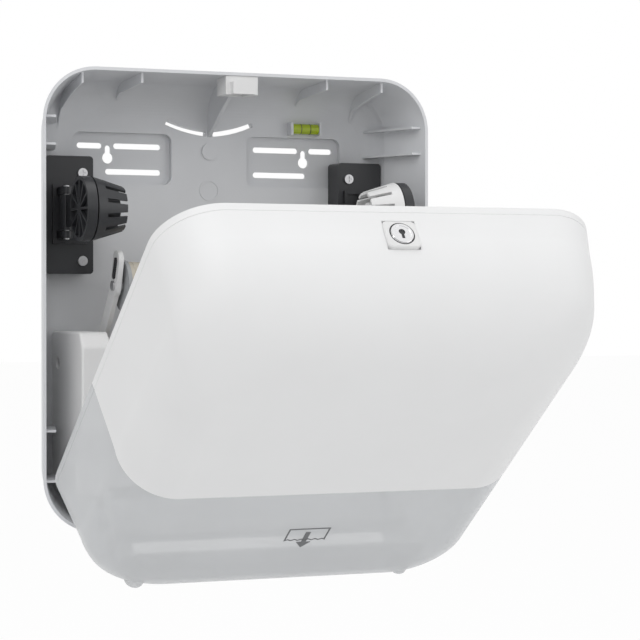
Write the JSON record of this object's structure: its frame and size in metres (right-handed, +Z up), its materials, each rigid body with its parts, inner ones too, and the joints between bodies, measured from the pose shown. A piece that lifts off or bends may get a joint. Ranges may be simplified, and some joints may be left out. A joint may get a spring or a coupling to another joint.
{
  "type": "roll towel dispenser",
  "caption": "Wall-mounted roll towel dispenser with a back tray, feed module and a white and frosted cover hung open on bottom hinges.",
  "frame": {"origin": "centre of the housing's rear face, on the wall", "axes": "+X to the right seen from the front, -Y to the front, +Z up"},
  "size_m": [0.337, 0.4128, 0.4096],
  "materials": {
    "housing_plastic": "satin moulded",
    "white_plastic": "fine matt",
    "cover_white": "fine matt",
    "frosted_plastic": "frosted",
    "black_plastic": "satin",
    "chrome": "polished",
    "steel": "bright",
    "rubber": "matt",
    "grey_plastic": "satin",
    "vial": "clear tinted"
  },
  "bodies": {
    "base": {"back_housing": "housing_plastic", "latch_keeper": "white_plastic", "level_vial": "vial", "right_bracket": "black_plastic", "left_bracket": "black_plastic", "bracket_screws": "steel", "arm_pins": "steel", "module_frame": "white_plastic", "right_case": "white_plastic", "left_case": "white_plastic", "case_screws": "steel", "frame_screws": "steel", "shaft_bushes": "grey_plastic", "towel_chute": "white_plastic", "tear_bar": "steel", "right_hinge_bracket": "white_plastic", "left_hinge_bracket": "white_plastic", "hinge_pins": "steel"},
    "left_arm": {"left_arm": "black_plastic", "left_hub_screw": "steel"},
    "right_arm": {"right_arm": "black_plastic", "right_hub_screw": "steel"},
    "left_hub": {"left_hub": "black_plastic"},
    "right_hub": {"right_hub": "white_plastic"},
    "drum": {"cutting_drum": "grey_plastic", "knife_blade": "steel", "drum_gear": "grey_plastic", "feed_wheel": "black_plastic"},
    "roller": {"pressure_roller": "rubber", "roller_shaft": "steel", "roller_gear": "grey_plastic"},
    "lever": {"lever_rod": "steel", "left_lever": "white_plastic", "right_lever": "white_plastic", "grip_strip": "black_plastic", "stub_axle": "steel"},
    "stub": {"stub_roller": "rubber", "stub_discs": "grey_plastic"},
    "cover": {"cover_shell": "cover_white", "cover_window": "frosted_plastic", "cover_lugs": "frosted_plastic", "towel_tray": "white_plastic", "cover_feet": "frosted_plastic", "lock_bezel": "white_plastic"},
    "lock": {"lock_cylinder": "chrome", "lock_cam": "steel"}
  },
  "joints": [
    {"name": "cover_hinge", "type": "hinge", "parent": "base", "child": "cover", "pos_m": [0, -0.1155, -0.1751], "axis": [1, 0, 0], "range_deg": [-52.6, 0]},
    {"name": "lock_turn", "type": "hinge", "parent": "cover", "child": "lock", "pos_m": [0, -0.39608, 0.04256], "axis": [0, -0.7944, 0.6074], "range_deg": [0, 90]},
    {"name": "left_arm_swing", "type": "hinge", "parent": "base", "child": "left_arm", "pos_m": [-0.136, -0.042, 0.072], "axis": [0, 0, 1], "range_deg": [-10, 0], "stiffness_Nm_per_rad": 0.6, "springref_deg": 14.32},
    {"name": "right_arm_swing", "type": "hinge", "parent": "base", "child": "right_arm", "pos_m": [0.136, -0.042, 0.072], "axis": [0, 0, 1], "range_deg": [0, 10], "stiffness_Nm_per_rad": 0.6, "springref_deg": -14.32},
    {"name": "left_hub_spin", "type": "hinge", "parent": "left_arm", "child": "left_hub", "pos_m": [-0.12, -0.095, 0.072], "axis": [1, 0, 0], "continuous": true},
    {"name": "right_hub_spin", "type": "hinge", "parent": "right_arm", "child": "right_hub", "pos_m": [0.12, -0.095, 0.072], "axis": [1, 0, 0], "continuous": true},
    {"name": "drum_spin", "type": "hinge", "parent": "base", "child": "drum", "pos_m": [0, -0.058, -0.07], "axis": [1, 0, 0], "continuous": true},
    {"name": "roller_spin", "type": "hinge", "parent": "base", "child": "roller", "pos_m": [0, -0.08367, -0.04433], "axis": [1, 0, 0], "continuous": true},
    {"name": "lever_swing", "type": "hinge", "parent": "base", "child": "lever", "pos_m": [0, -0.034, -0.044], "axis": [1, 0, 0], "range_deg": [0, 15], "stiffness_Nm_per_rad": 0.8, "springref_deg": -40.11},
    {"name": "stub_spin", "type": "hinge", "parent": "lever", "child": "stub", "pos_m": [0, -0.08, 0.011], "axis": [1, 0, 0], "continuous": true}
  ],
  "couplings": [
    {"joint": "roller_spin", "follows": "drum_spin", "ratio": -2}
  ]
}
